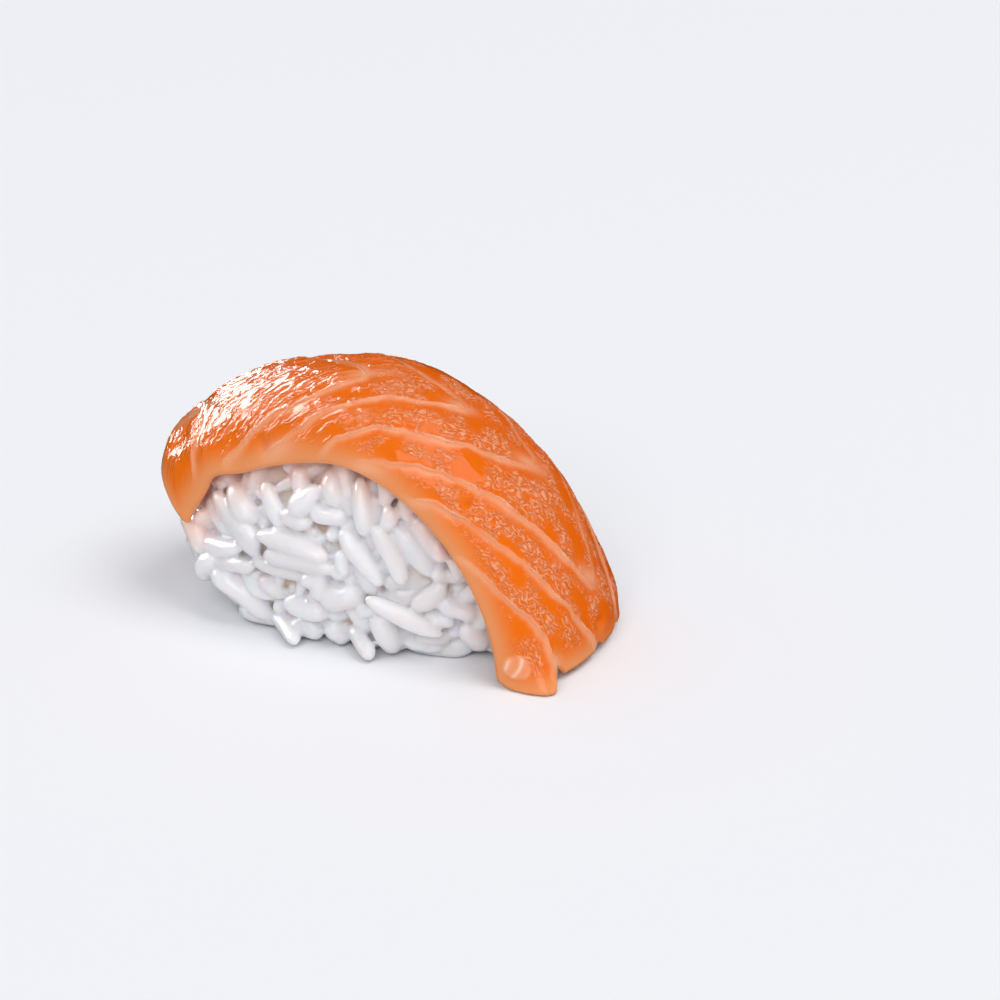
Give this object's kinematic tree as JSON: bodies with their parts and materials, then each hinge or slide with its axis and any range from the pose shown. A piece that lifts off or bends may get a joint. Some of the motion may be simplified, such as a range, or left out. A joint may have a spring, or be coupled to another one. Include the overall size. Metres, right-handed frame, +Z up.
{
  "type": "salmon nigiri",
  "caption": "Hand-pressed pad of cooked rice with a slice of raw salmon draped over it, one end of the slice hanging to the table.",
  "frame": {"origin": "middle of the rice pad's base, on the table", "axes": "+X along the nigiri towards the end where the salmon hangs down, +Y across it, +Z up"},
  "size_m": [0.0551, 0.0261, 0.0318],
  "materials": {
    "raw_salmon": "wet, translucent orange flesh with pale seams of fat",
    "cooked_rice": "moist, translucent white grains"
  },
  "bodies": {
    "root": {"salmon_slice": "raw_salmon", "rice": "cooked_rice"}
  },
  "joints": []
}
